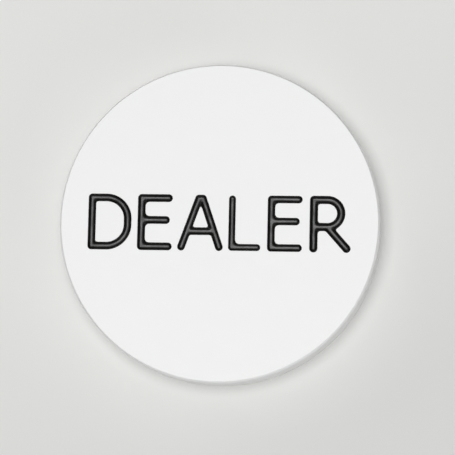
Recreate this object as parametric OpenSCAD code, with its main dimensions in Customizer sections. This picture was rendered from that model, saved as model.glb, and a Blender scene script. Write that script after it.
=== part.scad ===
// Dealer button: a solid white puck with the word DEALER engraved in both faces
// and each engraved letter lined with black enamel.
// Millimetres. The origin is the middle of the lower face, +Z points up out of
// the upper face, and +Y points to the tops of the upper face's letters.

/* [Puck] */
// Diameter of the puck
puck_d = 50.8; // [38:0.2:90]
// Thickness of the puck, face to face
puck_t = 9.5; // [5:0.5:25]
// Width of the bevel round each face, across the face
bevel_w = 0.3; // [0.1:0.1:1.5]
// Height of that bevel, down the side
bevel_h = 0.7; // [0.1:0.1:1.5]

/* [Word] */
// From the puck's side to the middle of the first and the last stroke
end_margin = 5.2; // [3:0.1:10]
// Letter height, from the middle of the lowest stroke to the middle of the highest
letter_h = 7.7; // [5:0.1:10]
// How far the middle of the word is above the middle of the puck
word_rise = -0.1; // [-1:0.1:1]

/* [Letters] */
// Width of D, in shares of the word
d_w = 5.7; // [4:0.1:7]
// Width of E, in shares of the word
e_w = 4.3; // [3.5:0.1:5.5]
// Width of A, in shares of the word
a_w = 6; // [5:0.1:8]
// Width of L, in shares of the word
l_w = 4; // [3:0.1:5]
// Width of R, in shares of the word
r_w = 5.2; // [4.8:0.1:6.5]
// Radius of the two bends of D
d_bend_r = 3.4; // [1:0.1:3.8]
// How far the middle arm of E is above the middle of the letter
e_arm_rise = 0.35; // [0:0.05:0.6]
// How much shorter the middle arm of E is than the other two
e_arm_short = 0.4; // [0:0.1:1]
// Height of the bar of A above the feet
a_bar_h = 2.5; // [1.5:0.1:3.5]
// Width of the flat top of A, along the middle of its stroke
a_top_w = 0.6; // [0.2:0.1:1.2]
// Height of the bowl of R
r_bowl_h = 4.3; // [3:0.1:4.8]
// How far the leg of R reaches past its bowl
r_leg_reach = 0.9; // [0.3:0.1:1.2]

/* [Engraving] */
// Width of the flat tip of the engraving cutter
tip_w = 0.6; // [0.2:0.02:0.8]
// Angle between the cutter's side and its axis, in degrees
cutter_angle = 30; // [10:1:35]
// Depth of the cut, before each letter's own difference
cut_depth = 0.5; // [0.35:0.01:0.8]
// Upright thickness of the enamel
enamel_t = 0.12; // [0.05:0.01:0.2]

/* [Hidden] */
$fn = 96;
// One row a letter: its name, its width, the gap after it and how much deeper
// than cut_depth it is cut. The gaps are in shares of the word.
LETTERS = [
    ["d", d_w, 2.2, 0.04],
    ["e", e_w, 2.1, 0.05],
    ["a", a_w, 2, 0.04],
    ["l", l_w, 2.2, -0.08],
    ["e", e_w, 2.4, 0.01],
    ["r", r_w, 0, 0.1]
];
LAST = len(LETTERS) - 1;
FACES = ["front", "back"];

word_w = puck_d - 2 * end_margin;
spans = [for (row = LETTERS) row[1] + row[2]];
share = word_w / total(spans, len(spans));
cutter_flare = tan(cutter_angle);
cutter_over = 0.2; // how far the cutter's shape goes on above the face
micron = 0.001;

function total(list, n) = n == 0 ? 0 : list[n - 1] + total(list, n - 1);
function letter_node(face, i) = str(face, "_letter_", i + 1, "_", letter_name(i));
function letter_name(i) = LETTERS[i][0];
function letter_w(i) = round(share * LETTERS[i][1] / micron) * micron;
function letter_depth(i) = cut_depth + LETTERS[i][3];
function letter_x(i) = share * total(spans, i) - word_w / 2;
// Half the width that the cutter takes at a height above its tip.
function cutter_half_w(h) = tip_w / 2 + h * cutter_flare;

// The cutter's outline, with its tip `depth` below the face, which is y = 0.
module cutter_outline(depth) {
    half_w = cutter_half_w(depth + cutter_over);
    polygon([
        [-tip_w / 2, -depth],
        [tip_w / 2, -depth],
        [half_w, cutter_over],
        [-half_w, cutter_over]
    ]);
}

// What the cutter takes standing at p.
module plunge(p, depth) {
    h = depth + cutter_over;
    translate([p[0], p[1], -depth])
        cylinder(h = h, r1 = cutter_half_w(0), r2 = cutter_half_w(h));
}

// What the cutter takes from p to q. The start is flat, for a run that starts
// inside another, and the end is round unless the stroke goes on as a bend.
module run(p, q, depth, round_end = true) {
    way = q - p;
    length = norm(way);
    translate([p[0], p[1], 0]) rotate([0, 0, atan2(way[1], way[0])]) {
        rotate([90, 0, 90]) linear_extrude(length) cutter_outline(depth);
        if (round_end) plunge([length, 0], depth);
    }
}

// What the cutter takes from point to point, with both ends round.
module stroke(points, depth) {
    plunge(points[0], depth);
    for (i = [1 : len(points) - 1])
        run(points[i - 1], points[i], depth);
}

// What the cutter takes on an arc round c, with flat ends.
module bend(c, r, from, turn, depth) {
    translate([c[0], c[1], 0])
        rotate([0, 0, from])
        rotate_extrude(angle = turn)
        translate([r, 0])
        cutter_outline(depth);
}

// Each letter stands on y = 0 with its left side at x = 0.
module cut_d(w, depth) {
    r = min(d_bend_r, w - tip_w, letter_h / 2);
    run([w - r, 0], [0, 0], depth);
    run([0, 0], [0, letter_h], depth);
    run([0, letter_h], [w - r, letter_h], depth, round_end = false);
    bend([w - r, letter_h - r], r, 0, 90, depth);
    if (letter_h > 2 * r)
        run([w, letter_h - r], [w, r], depth, round_end = false);
    bend([w - r, r], r, -90, 90, depth);
}

module cut_e(w, depth) {
    arm_y = letter_h / 2 + e_arm_rise;
    stroke([[w, 0], [0, 0], [0, letter_h], [w, letter_h]], depth);
    run([0, arm_y], [w - e_arm_short, arm_y], depth);
}

module cut_a(w, depth) {
    lean = (w - a_top_w) / 2;
    bar_x = lean * a_bar_h / letter_h;
    stroke([[lean + a_top_w, letter_h], [lean, letter_h], [0, 0]], depth);
    run([lean + a_top_w, letter_h], [w, 0], depth);
    run([bar_x, a_bar_h], [w - bar_x, a_bar_h], depth, round_end = false);
}

module cut_l(w, depth) {
    stroke([[w, 0], [0, 0], [0, letter_h]], depth);
}

module cut_r(w, depth) {
    r = r_bowl_h / 2;
    bowl_x = w - r_leg_reach - r;
    bowl_y = letter_h - r_bowl_h;
    stroke([[0, 0], [0, letter_h]], depth);
    run([0, letter_h], [bowl_x, letter_h], depth, round_end = false);
    bend([bowl_x, letter_h - r], r, -90, 180, depth);
    run([bowl_x, bowl_y], [0, bowl_y], depth, round_end = false);
    run([bowl_x, bowl_y], [w, 0], depth);
}

// The cut of letter i in its place in the word, with the face at z = 0.
module letter_cut(i) {
    name = letter_name(i);
    w = letter_w(i);
    depth = letter_depth(i);
    translate([letter_x(i), word_rise - letter_h / 2, 0]) {
        if (name == "d") cut_d(w, depth);
        if (name == "e") cut_e(w, depth);
        if (name == "a") cut_a(w, depth);
        if (name == "l") cut_l(w, depth);
        if (name == "r") cut_r(w, depth);
    }
}

// Puts what is drawn on z = 0 on the puck's front or back face.
module on_face(face) {
    if (face == "front") translate([0, 0, puck_t]) children();
    else rotate([0, 180, 0]) children();
}

// All the room below the face z = 0 that a letter can take.
module below_face() {
    translate([-puck_d / 2, -puck_d / 2, -puck_t])
        cube([puck_d, puck_d, puck_t]);
}

// Half of the puck's section, from its axis out to its side.
module puck_outline() {
    r = puck_d / 2;
    flat_r = r - bevel_w;
    polygon([
        [0, 0],
        [flat_r, 0],
        [r, bevel_h],
        [r, puck_t - bevel_h],
        [flat_r, puck_t],
        [0, puck_t]
    ]);
}

module puck() {
    color("white") difference() {
        rotate_extrude() puck_outline();
        for (face = FACES)
            for (i = [0 : LAST])
                on_face(face) letter_cut(i);
    }
}

// The enamel in letter i's cut. It covers the floor and the sides, and ends
// level with the face.
module letter(face, i) {
    color([0.05, 0.05, 0.05]) on_face(face) difference() {
        intersection() {
            letter_cut(i);
            below_face();
        }
        translate([0, 0, enamel_t]) letter_cut(i);
    }
}

puck();
for (face = FACES)
    for (i = [0 : LAST])
        letter(face, i);
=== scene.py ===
"""A dealer button on a pale floor: a white plastic puck with black enamel in its engraved faces.

Everything is in metres in the CAD frame: +Z is up, and the middle of the puck's lower face is
the origin.
"""

import math

import bpy
import numpy as np
from mathutils import Matrix, Vector, noise
from mathutils.geometry import delaunay_2d_cdt


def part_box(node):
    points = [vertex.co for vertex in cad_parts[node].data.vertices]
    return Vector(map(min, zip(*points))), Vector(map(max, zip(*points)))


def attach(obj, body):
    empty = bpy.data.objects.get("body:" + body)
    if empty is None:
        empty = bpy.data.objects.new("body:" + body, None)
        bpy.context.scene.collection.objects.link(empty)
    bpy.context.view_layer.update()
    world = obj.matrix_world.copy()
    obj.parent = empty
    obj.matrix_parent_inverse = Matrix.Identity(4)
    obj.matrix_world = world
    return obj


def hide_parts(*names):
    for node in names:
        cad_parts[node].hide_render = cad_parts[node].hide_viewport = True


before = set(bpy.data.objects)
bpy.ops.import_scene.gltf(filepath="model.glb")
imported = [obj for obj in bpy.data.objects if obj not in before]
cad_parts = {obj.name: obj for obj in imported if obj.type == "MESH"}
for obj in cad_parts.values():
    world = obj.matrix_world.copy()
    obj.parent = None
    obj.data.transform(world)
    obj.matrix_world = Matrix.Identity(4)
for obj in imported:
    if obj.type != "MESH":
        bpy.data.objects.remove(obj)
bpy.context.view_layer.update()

# ---------------------------------------------------------------- sizes

MM = 0.001
MICRON = MM * 1e-3
# Points closer than this are the same point.
SAME_PLACE = MM * 1e-4
# How near a point has to be to a line to lie on it.
ON_LINE = MM * 1e-5
# A length that stands in for zero where zero can't be divided by.
TINY = MM * 1e-6

puck_low, puck_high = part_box("puck")
PUCK_R = (puck_high.x - puck_low.x) / 2
PUCK_T = puck_high.z - puck_low.z
# The bevel round each face, and the small rounding of its two corners.
BEVEL_W = 0.3 * MM
BEVEL_H = 0.7 * MM
BEVEL_SOFT = 0.05 * MM

# The engraving cutter: a cone with a flat tip.
TIP_HALF_W = 0.3 * MM
CUTTER_FLARE = math.tan(math.radians(30))

# Places inside a letter, as in the CAD model.
D_BEND_R = 3.4 * MM
E_ARM_RISE = 0.35 * MM
E_ARM_SHORT = 0.4 * MM
A_BAR_H = 2.5 * MM
A_TOP_W = 0.6 * MM
R_BOWL_H = 4.3 * MM
R_LEG_REACH = 0.9 * MM

# How far each letter's inner corners are filled, as the cutter and the enamel round them.
CORNER_FILLS = [fill * MM for fill in (0.40, 0.75, 0.45, 0.80, 0.70, 0.50)]

# The rounded lip where a cut's side meets the face, and the mesh's narrow flat band past it.
LIP = 0.06 * MM
FLAT_BAND = 0.12 * MM

# The coat of enamel: its upright thickness, how much and how fast that varies, the rounding of
# its inner corners, and the width over which it thins out at the lip.
ENAMEL_T = 0.12 * MM
ENAMEL_WAVE = 0.03 * MM
ENAMEL_WAVE_LENGTH = 1.4 * MM
ENAMEL_FILLET = 0.18 * MM
ENAMEL_EDGE_W = 0.1 * MM

# The floor's colour is painted darker this way, as painted light fall-off, over this reach on both sides
# of the puck.
PAINTED_FALL_OFF_WAY = (0.43, -0.9, 0.0)
PAINTED_FALL_OFF_REACH = 35 * MM

# Mesh steps.
STROKE_STEP = 0.1 * MM
END_STEPS = 40
RIM_STEPS = 384
CORNER_STEPS = 5
SIDE_STEPS = 8
# Rows of points up a cut's wall, as shares of its width.
WALL_ROWS = (0.25, 0.5, 0.75, 0.9, 1)
# Steps that pull a point onto its row, and the least slope that a step divides by.
PULLS = 4
LEAST_SLOPE = 0.25

FACES = ("front", "back")
LETTER_NODES = {
    face: sorted(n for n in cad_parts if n.startswith(face + "_letter_"))
    for face in FACES
}


# ---------------------------------------------------------------- strokes

class Line:
    """A straight stroke's middle line."""

    def __init__(self, p, q):
        self.p, self.q = np.array(p, float), np.array(q, float)
        self.length = np.linalg.norm(self.q - self.p)

    def nearest(self, points):
        way = self.q - self.p
        t = np.clip((points - self.p) @ way / self.length**2, 0, 1)
        return self.p + t[:, None] * way

    def beside(self, offset):
        """Points along both sides, and round both ends, at that distance."""
        way = (self.q - self.p) / self.length
        across = np.array([-way[1], way[0]])
        t = np.linspace(0, self.length, math.ceil(self.length / STROKE_STEP) + 1)
        middle = self.p + t[:, None] * way
        if offset == 0:
            return middle
        turn = np.linspace(0, 2 * math.pi, END_STEPS, endpoint=False)[:, None]
        ring = offset * (np.cos(turn) * way + np.sin(turn) * across)
        sides = [middle + offset * across, middle - offset * across]
        return np.vstack(sides + [self.p + ring, self.q + ring])


class Arc:
    """A bent stroke's middle line. Angles are in degrees, and it turns left."""

    def __init__(self, centre, radius, start, turn):
        self.centre, self.radius = np.array(centre, float), radius
        self.start, self.turn = math.radians(start), math.radians(turn)

    def at(self, angle, radius):
        way = np.stack([np.cos(self.start + angle), np.sin(self.start + angle)], axis=1)
        return self.centre + radius * way

    def nearest(self, points):
        away = points - self.centre
        angle = (np.arctan2(away[:, 1], away[:, 0]) - self.start) % (2 * math.pi)
        past_end = angle - self.turn < 2 * math.pi - angle
        angle = np.where(angle <= self.turn, angle, np.where(past_end, self.turn, 0))
        return self.at(angle, self.radius)

    def beside(self, offset):
        steps = math.ceil(self.radius * self.turn / STROKE_STEP) + 1
        angle = np.linspace(0, self.turn, steps)
        radii = {self.radius - offset, self.radius + offset}
        return np.vstack([self.at(angle, r) for r in sorted(radii)])


def chain(*points):
    """The lines from point to point."""
    return [Line(p, q) for p, q in zip(points, points[1:])]


def strokes_d(w, h):
    r = min(D_BEND_R, w - 2 * TIP_HALF_W, h / 2)
    side = [Line((w, h - r), (w, r))] if h - 2 * r > MICRON else []
    bends = [Arc((w - r, h - r), r, 0, 90), Arc((w - r, r), r, -90, 90)]
    return chain((w - r, 0), (0, 0), (0, h), (w - r, h)) + side + bends


def strokes_e(w, h):
    arm_y = h / 2 + E_ARM_RISE
    return chain((w, 0), (0, 0), (0, h), (w, h)) + [Line((0, arm_y), (w - E_ARM_SHORT, arm_y))]


def strokes_a(w, h):
    lean = (w - A_TOP_W) / 2
    bar_x = lean * A_BAR_H / h
    legs = chain((0, 0), (lean, h), (lean + A_TOP_W, h), (w, 0))
    return legs + [Line((bar_x, A_BAR_H), (w - bar_x, A_BAR_H))]


def strokes_l(w, h):
    return chain((w, 0), (0, 0), (0, h))


def strokes_r(w, h):
    r = R_BOWL_H / 2
    bowl_x = w - R_LEG_REACH - r
    bowl_y = h - R_BOWL_H
    stem = chain((0, 0), (0, h), (bowl_x, h))
    bar = chain((0, bowl_y), (bowl_x, bowl_y), (w, 0))
    return stem + bar + [Arc((bowl_x, h - r), r, -90, 180)]


STROKES = {"d": strokes_d, "e": strokes_e, "a": strokes_a, "l": strokes_l, "r": strokes_r}


class Letter:
    """One engraved letter, seen from outside its face: x to the right, y up, z out of the face."""

    def __init__(self, node, fill):
        low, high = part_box(node)
        self.fill = fill
        self.depth = high.z - low.z
        self.half_w = TIP_HALF_W + self.depth * CUTTER_FLARE
        self.corner = np.array([low.x + self.half_w, low.y + self.half_w])
        size = np.array([high.x - low.x, high.y - low.y]) - 2 * self.half_w
        self.strokes = STROKES[node[-1]](*size)

    def distance(self, points, sharp=False):
        """How far each point is from the middle of the nearest stroke, less in the filled corners."""
        fill = 0 if sharp else self.fill
        points = points - self.corner
        found, way = None, None
        for stroke in self.strokes:
            away = points - stroke.nearest(points)
            gap = np.linalg.norm(away, axis=1)
            away = away / np.maximum(gap, TINY)[:, None]
            if found is None:
                found, way = gap, away
                continue
            # two strokes on the same side of a point make no corner there
            apart = np.clip(1 - np.sum(away * way, axis=1), 0, 1)
            way = np.where((gap < found)[:, None], away, way)
            found = smooth_min(found, gap, np.maximum(fill * apart, TINY))
        return found

    def pull_to(self, level, points):
        """Moves points onto the line that is `level` from the strokes, and drops what stays off it."""
        for _ in range(PULLS):
            d = self.distance(points)
            slope_x = (self.distance(points + [MICRON, 0]) - d) / MICRON
            slope_y = (self.distance(points + [0, MICRON]) - d) / MICRON
            slope = np.column_stack([slope_x, slope_y])
            size = np.maximum(np.sum(slope * slope, axis=1), LEAST_SLOPE)
            points = points + ((level - d) / size)[:, None] * slope
        return points[np.abs(self.distance(points) - level) < SAME_PLACE]

    def levels(self):
        """The distances from the middle line at which the mesh has rows of points."""
        wall = self.half_w - TIP_HALF_W
        rows = [0, TIP_HALF_W / 2, TIP_HALF_W]
        rows += [TIP_HALF_W + wall * share for share in WALL_ROWS]
        lip_end = self.half_w + LIP * CUTTER_FLARE
        return rows + [lip_end, lip_end + FLAT_BAND]

    def points(self):
        """The mesh's points in and beside the letter's cut."""
        found = []
        for level in self.levels():
            rows = np.vstack([s.beside(level) for s in self.strokes]) + self.corner
            rows = rows[np.abs(self.distance(rows, sharp=True) - level) < ON_LINE]
            found.append(rows if level < TIP_HALF_W else self.pull_to(level, rows))
        return np.vstack(found)

    def cut_z(self, d):
        """The plastic's surface: flat, over a rounded lip, down the cut's side and along its floor."""
        side = (d - self.half_w) / CUTTER_FLARE
        return np.maximum(smooth_min(side, np.zeros_like(d), LIP), -self.depth)

    def enamel_z(self, d, points):
        """The enamel's surface: a trough with filleted corners that thins out at the lip."""
        wave = [noise.noise(Vector((*(p / ENAMEL_WAVE_LENGTH), 0))) for p in points]
        floor = ENAMEL_T - self.depth + ENAMEL_WAVE * np.array(wave)
        side = (d - self.half_w) / CUTTER_FLARE + ENAMEL_T
        trough = -smooth_min(-floor, -side, ENAMEL_FILLET)
        cut = self.cut_z(d)
        coat = np.clip((self.half_w - d) / ENAMEL_EDGE_W, 0, 1)
        coat = coat * coat * (3 - 2 * coat)
        return cut + coat * np.maximum(np.minimum(trough, -LIP / 4) - cut, 0)


def smooth_min(a, b, blend):
    """The lower of two heights, with the corner between them rounded over `blend`."""
    share = np.clip(0.5 + (b - a) / (2 * blend), 0, 1)
    return b + (a - b) * share - blend * share * (1 - share)


# ---------------------------------------------------------------- meshes

def make_piece(name, verts, faces, material, nodes):
    """A piece of the object that stands for the named CAD nodes."""
    mesh = bpy.data.meshes.new(name)
    mesh.from_pydata([tuple(v) for v in verts], [], [tuple(f) for f in faces])
    mesh.validate()
    mesh.shade_smooth()
    piece = bpy.data.objects.new(name, mesh)
    bpy.context.scene.collection.objects.link(piece)
    mesh.materials.append(material)
    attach(piece, "root")
    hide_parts(*nodes)
    return piece


def ring(radius):
    """Points round the puck's axis, in its plane."""
    turn = np.linspace(0, 2 * math.pi, RIM_STEPS, endpoint=False)
    return radius * np.stack([np.cos(turn), np.sin(turn)], axis=1)


def face_triangles(points):
    """Delaunay triangles, wound to face +Z."""
    pairs = [Vector(p) for p in points]
    _, _, faces, origins, _, _ = delaunay_2d_cdt(pairs, [], [], 0, TINY)
    first = np.array([found[0] for found in origins])
    faces = first[np.array(faces)]
    a, b, c = (points[faces[:, i]] for i in range(3))
    area = (b - a)[:, 0] * (c - a)[:, 1] - (b - a)[:, 1] * (c - a)[:, 0]
    real = np.abs(area) > ON_LINE**2
    faces, area = faces[real], area[real]
    faces[area < 0] = faces[area < 0][:, ::-1]
    return faces


def rounded_corner(before, corner, after, radius):
    """Points round a corner, each as (distance from the axis, depth below the face)."""
    before, corner, after = (np.array(p, float) for p in (before, corner, after))
    way_in = (before - corner) / np.linalg.norm(before - corner)
    way_out = (after - corner) / np.linalg.norm(after - corner)
    half = math.acos(way_in @ way_out) / 2
    centre = corner + (way_in + way_out) / np.linalg.norm(way_in + way_out) * radius / math.sin(half)
    start = corner + way_in * radius / math.tan(half) - centre
    end = corner + way_out * radius / math.tan(half) - centre
    found = []
    for share in np.linspace(0, 1, CORNER_STEPS):
        way = start * (1 - share) + end * share
        found.append(tuple(centre + way / np.linalg.norm(way) * radius))
    return found


def edge_profile():
    """The edge of the puck from the flat face, over the bevel, to the top of the side."""
    middle, inner, outer, below = (0, 0), (PUCK_R - BEVEL_W, 0), (PUCK_R, BEVEL_H), (PUCK_R, PUCK_T)
    upper_corner = rounded_corner(middle, inner, outer, BEVEL_SOFT)
    return upper_corner + rounded_corner(inner, outer, below, BEVEL_SOFT)


def on_face(face, points):
    """Takes points seen from outside a face, with that face at z = 0, to their place on the puck."""
    if face == "front":
        return points + np.array([0, 0, PUCK_T])
    return points * np.array([-1, 1, -1])


def engraved_face(letters):
    """The points of one face in its plane, and the triangles between them."""
    rim_r = edge_profile()[0][0]
    rows = [ring(rim_r), ring(rim_r - FLAT_BAND)]
    rows += [letter.points() for letter in letters]
    points = np.vstack(rows)
    _, kept = np.unique(np.round(points / SAME_PLACE), axis=0, return_index=True)
    # the rim's points come first, in order, because the side is joined to them
    kept = np.sort(kept)
    points = points[kept]
    return points, face_triangles(points)


def enamel_mesh(letter, points, triangles, d):
    """The closed film of enamel in one letter: its top, its underside and their shared edge."""
    inside = letter.distance(points[triangles].mean(axis=1)) < letter.half_w
    film = triangles[inside]
    used = np.unique(film)
    place = np.full(len(points), -1)
    place[used] = np.arange(len(used))
    film = place[film]
    points, d = points[used], d[used]

    edges = np.sort(np.vstack([film[:, [0, 1]], film[:, [1, 2]], film[:, [2, 0]]]), axis=1)
    pairs, uses = np.unique(edges, axis=0, return_counts=True)
    edge = np.zeros(len(points), bool)
    edge[pairs[uses == 1].ravel()] = True

    low = np.column_stack([points, letter.cut_z(d)])
    high = np.column_stack([points, letter.enamel_z(d, points)])
    under = np.where(edge, np.arange(len(points)), 0)
    under[~edge] = len(points) + np.arange((~edge).sum())
    high[edge] = low[edge]
    verts = np.vstack([high, low[~edge]])
    return verts, np.vstack([film, under[film][:, ::-1]])


def strip(lower, upper):
    """Quads between two rings of point numbers, facing out when `upper` is above."""
    return [
        (a, b, c, d)
        for a, b, c, d in zip(lower, np.roll(lower, -1), np.roll(upper, -1), upper)
    ]


def puck_mesh(points, triangles, heights):
    """Both faces, the bevels and the side, as one closed mesh."""
    verts, faces, rims = [], [], []
    plane = np.column_stack([points, heights])
    for number, face in enumerate(FACES):
        verts.append(on_face(face, plane))
        faces += [tuple(t) for t in triangles + number * len(points)]
        rims.append(np.arange(RIM_STEPS) + number * len(points))
    # the back face is turned about Y, so its rim starts opposite and runs the other way
    front_rim = rims[0]
    back_rim = np.roll(rims[1][::-1], RIM_STEPS // 2 + 1)

    edge = edge_profile()
    side_top = edge[-1][1]
    side = np.linspace(side_top, PUCK_T - side_top, SIDE_STEPS + 1)[1:-1]
    sections = edge[1:] + [(PUCK_R, drop) for drop in side]
    sections += [(radius, PUCK_T - drop) for radius, drop in edge[:0:-1]]

    above = front_rim
    count = 2 * len(points)
    for radius, drop in sections:
        row = ring(radius)
        verts.append(np.column_stack([row, np.full(RIM_STEPS, PUCK_T - drop)]))
        below = np.arange(RIM_STEPS) + count
        faces += strip(below, above)
        above = below
        count += RIM_STEPS
    faces += strip(back_rim, above)
    return np.vstack(verts), faces


# ---------------------------------------------------------------- materials

# The two tones that each colour varies between.
PLASTIC_TONES = [(0.876, 0.8785, 0.8765), (0.890, 0.8925, 0.8905)]
ENAMEL_TONES = [(0.0030, 0.0030, 0.0027), (0.0070, 0.0069, 0.0062)]
# The floor's second tone is darker: painted shade of the light falling off to the lower right.
FLOOR_TONES_PAINTED_FALL_OFF = [(0.80, 0.80, 0.784), (0.70, 0.70, 0.686)]

# How far the scratches bring the plastic's roughness down.
SCRATCH_SHINE = 0.1


class Nodes:
    """A shorthand for making a material's nodes."""

    def __init__(self, name):
        self.material = bpy.data.materials.new(name)
        self.material.use_nodes = True
        self.tree = self.material.node_tree
        self.shader = self.tree.nodes["Principled BSDF"]

    def add(self, kind, inputs=(), **settings):
        node = self.tree.nodes.new(kind)
        for key, value in settings.items():
            setattr(node, key, value)
        for key, value in dict(inputs).items():
            if isinstance(value, bpy.types.NodeSocket):
                self.tree.links.new(value, node.inputs[key])
            else:
                node.inputs[key].default_value = value
        return node

    def link(self, socket, key):
        self.tree.links.new(socket, self.shader.inputs[key])

    def between(self, factor, low, high, start=0.0, end=1.0):
        """A number that goes from low to high as factor goes from start to end."""
        inputs = {"Value": factor, "From Min": start, "From Max": end, "To Min": low, "To Max": high}
        return self.add("ShaderNodeMapRange", inputs).outputs["Result"]

    def tint(self, factor, first, second):
        """The base colour, which goes from first to second as factor goes from 0 to 1."""
        mix = self.add("ShaderNodeMix", {"Factor": factor}, data_type="RGBA")
        mix.inputs["A"].default_value = (*first, 1)
        mix.inputs["B"].default_value = (*second, 1)
        self.link(mix.outputs["Result"], "Base Color")


def streaks(n, where, turn):
    """Thin faint scratches that run one way: 0 off them and up to 1 on them."""
    placing = {"Vector": where, "Rotation": (0.0, 0.0, math.radians(turn)), "Scale": (1.0, 22.0, 1.0)}
    drawn_out = n.add("ShaderNodeMapping", placing).outputs["Vector"]
    lines = n.add("ShaderNodeTexNoise", {"Vector": drawn_out, "Scale": 210.0, "Detail": 3.0})
    return n.between(lines.outputs["Fac"], 0.0, 1.0, start=0.60, end=0.72)


def white_plastic():
    """Satin white plastic with a faint haze, a fine grain and a few rubbed scratches."""
    n = Nodes("white_plastic")
    where = n.add("ShaderNodeTexCoord").outputs["Object"]

    clouds = n.add("ShaderNodeTexNoise", {"Vector": where, "Scale": 120.0, "Detail": 3.0})
    n.tint(clouds.outputs["Fac"], *PLASTIC_TONES)

    haze = n.add("ShaderNodeTexNoise", {"Vector": where, "Scale": 420.0, "Detail": 5.0})
    ways = {0: streaks(n, where, 25), 1: streaks(n, where, 110)}
    rubbed = n.add("ShaderNodeMath", ways, operation="MAXIMUM")
    matt = n.between(haze.outputs["Fac"], 0.56, 0.66)
    shine = n.add("ShaderNodeMath", {0: rubbed.outputs["Value"], 1: SCRATCH_SHINE}, operation="MULTIPLY")
    finish = n.add("ShaderNodeMath", {0: matt, 1: shine.outputs["Value"]}, operation="SUBTRACT")
    n.link(finish.outputs["Value"], "Roughness")

    grain = n.add("ShaderNodeTexNoise", {"Vector": where, "Scale": 3200.0, "Detail": 4.0})
    fine = n.add("ShaderNodeBump", {"Strength": 0.05, "Distance": 0.00002, "Height": grain.outputs["Fac"]})
    scratch_inputs = {"Strength": 0.12, "Distance": 0.000004, "Height": rubbed.outputs["Value"]}
    scratch = n.add("ShaderNodeBump", {**scratch_inputs, "Normal": fine.outputs["Normal"]}, invert=True)
    n.link(scratch.outputs["Normal"], "Normal")
    return n.material


def black_enamel():
    """Glossy black enamel, laid by hand: its sheen and its skin vary a little along a stroke."""
    n = Nodes("black_enamel")
    where = n.add("ShaderNodeTexCoord").outputs["Object"]
    clouds = n.add("ShaderNodeTexNoise", {"Vector": where, "Scale": 700.0, "Detail": 3.0})
    n.tint(clouds.outputs["Fac"], *ENAMEL_TONES)
    haze = n.add("ShaderNodeTexNoise", {"Vector": where, "Scale": 1500.0, "Detail": 4.0})
    n.link(n.between(haze.outputs["Fac"], 0.28, 0.42), "Roughness")
    ripple = n.add("ShaderNodeTexNoise", {"Vector": where, "Scale": 2600.0, "Detail": 2.0})
    bump = n.add("ShaderNodeBump", {"Strength": 0.2, "Distance": 0.00003, "Height": ripple.outputs["Fac"]})
    n.link(bump.outputs["Normal"], "Normal")
    n.shader.inputs["Specular IOR Level"].default_value = 0.36
    return n.material


def pale_floor_painted_fall_off():
    """A pale sheet whose colour is painted a little darker to the lower right: painted shade standing for
    the light's fall-off.
    """
    n = Nodes("pale_floor_painted_fall_off")
    where = n.add("ShaderNodeTexCoord").outputs["Object"]
    along = n.add("ShaderNodeVectorMath", {0: where, 1: PAINTED_FALL_OFF_WAY}, operation="DOT_PRODUCT")
    share = n.between(along.outputs["Value"], 0.0, 1.0, -PAINTED_FALL_OFF_REACH, PAINTED_FALL_OFF_REACH)
    # Painted light fall-off: the floor's colour darkens to the lower right.
    n.tint(share, *FLOOR_TONES_PAINTED_FALL_OFF)
    n.shader.inputs["Roughness"].default_value = 0.9
    n.shader.inputs["Specular IOR Level"].default_value = 0.1
    return n.material


# ---------------------------------------------------------------- the button

plastic, enamel = white_plastic(), black_enamel()
letters = [Letter(node, fill) for node, fill in zip(LETTER_NODES["front"], CORNER_FILLS)]
points, triangles = engraved_face(letters)
distances = [letter.distance(points) for letter in letters]
heights = np.min([letter.cut_z(d) for letter, d in zip(letters, distances)], axis=0)
verts, faces = puck_mesh(points, triangles, heights)
make_piece("puck_body", verts, faces, plastic, ["puck"])

for letter, d, *nodes in zip(letters, distances, LETTER_NODES["front"], LETTER_NODES["back"]):
    verts, faces = enamel_mesh(letter, points, triangles, d)
    for face, node in zip(FACES, nodes):
        make_piece(f"enamel_{node}", on_face(face, verts), faces, enamel, [node])


# ---------------------------------------------------------------- floor, camera and light

FLOOR_SIDE = 4.0
LIGHT_DISTANCE = 1.0
FLOOR_GAP = 0.01 * MM


def make_floor():
    """A square sheet just below the puck."""
    half = FLOOR_SIDE / 2
    corners = [(-half, -half), (half, -half), (half, half), (-half, half)]
    mesh = bpy.data.meshes.new("floor")
    mesh.from_pydata([(x, y, -FLOOR_GAP) for x, y in corners], [], [(0, 1, 2, 3)])
    mesh.materials.append(pale_floor_painted_fall_off())
    floor = bpy.data.objects.new("floor", mesh)
    bpy.context.scene.collection.objects.link(floor)


# The camera looks down on the upper face, from a little right of it and nearer the viewer.
CAMERA_FROM_FACE = Vector((28.6, -40.8, 329)) * MM
AIM_RIGHT = 1.40 * MM
AIM_UP = -0.80 * MM
CAMERA_ROLL = math.radians(1.29)
LENS = 166.7
SENSOR = 36.0


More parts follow.
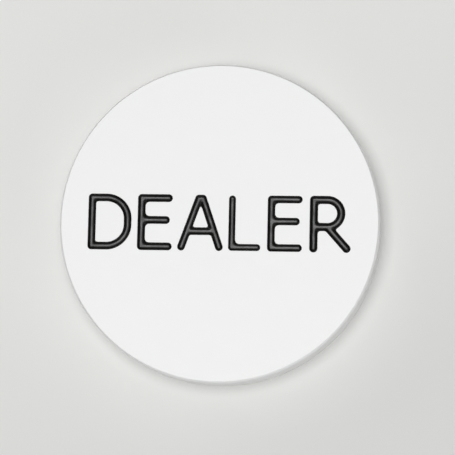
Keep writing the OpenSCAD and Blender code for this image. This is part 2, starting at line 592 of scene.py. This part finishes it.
def make_camera():
    """The camera, aimed a little off the middle of the upper face and rolled round its own axis."""
    face = Vector((0, 0, PUCK_T))
    place = face + CAMERA_FROM_FACE
    ahead = -CAMERA_FROM_FACE.normalized()
    right = ahead.cross(Vector((0, 1, 0))).normalized()
    up = right.cross(ahead)
    ahead = (face + AIM_RIGHT * right + AIM_UP * up - place).normalized()
    right = ahead.cross(Vector((0, 1, 0))).normalized()
    up = right.cross(ahead)
    turn = Matrix.Rotation(CAMERA_ROLL, 3, -ahead)
    axes = Matrix((turn @ right, turn @ up, -ahead)).transposed()
    data = bpy.data.cameras.new("camera")
    data.lens, data.sensor_width, data.clip_start = LENS, SENSOR, 0.01
    camera = bpy.data.objects.new("camera", data)
    camera.matrix_world = Matrix.Translation(place) @ axes.to_4x4()
    bpy.context.scene.collection.objects.link(camera)
    bpy.context.scene.camera = camera


def toward(from_zenith, heading):
    """A direction, in degrees from straight up and degrees round from +X."""
    tilt, turn = math.radians(from_zenith), math.radians(heading)
    return Vector((math.sin(tilt) * math.cos(turn), math.sin(tilt) * math.sin(turn), math.cos(tilt)))


def make_light(name, from_zenith, heading, diameter, power):
    """A round soft light, LIGHT_DISTANCE from the puck and facing it."""
    data = bpy.data.lights.new(name, "AREA")
    data.shape = "DISK"
    data.size = diameter
    data.energy = power
    light = bpy.data.objects.new(name, data)
    way = toward(from_zenith, heading)
    light.location = way * LIGHT_DISTANCE
    light.rotation_euler = (-way).to_track_quat("-Z", "Y").to_euler()
    bpy.context.scene.collection.objects.link(light)


def make_surroundings(strength, colour):
    """An even dim light from all round."""
    world = bpy.data.worlds.new("surroundings")
    world.use_nodes = True
    background = world.node_tree.nodes["Background"]
    background.inputs["Color"].default_value = (*colour, 1)
    background.inputs["Strength"].default_value = strength
    bpy.context.scene.world = world


make_floor()
make_camera()
make_light("overhead", from_zenith=3.0, heading=-95, diameter=0.5, power=8.2)
make_light("low_right_front", from_zenith=70, heading=-45, diameter=0.6, power=1.5)
make_light("low_front", from_zenith=70, heading=-100, diameter=0.6, power=0.7)
make_light("low_left_back", from_zenith=68, heading=135, diameter=0.6, power=1.1)
make_surroundings(strength=0.057, colour=(1, 1, 0.99))
bpy.context.scene.view_settings.view_transform = "Standard"
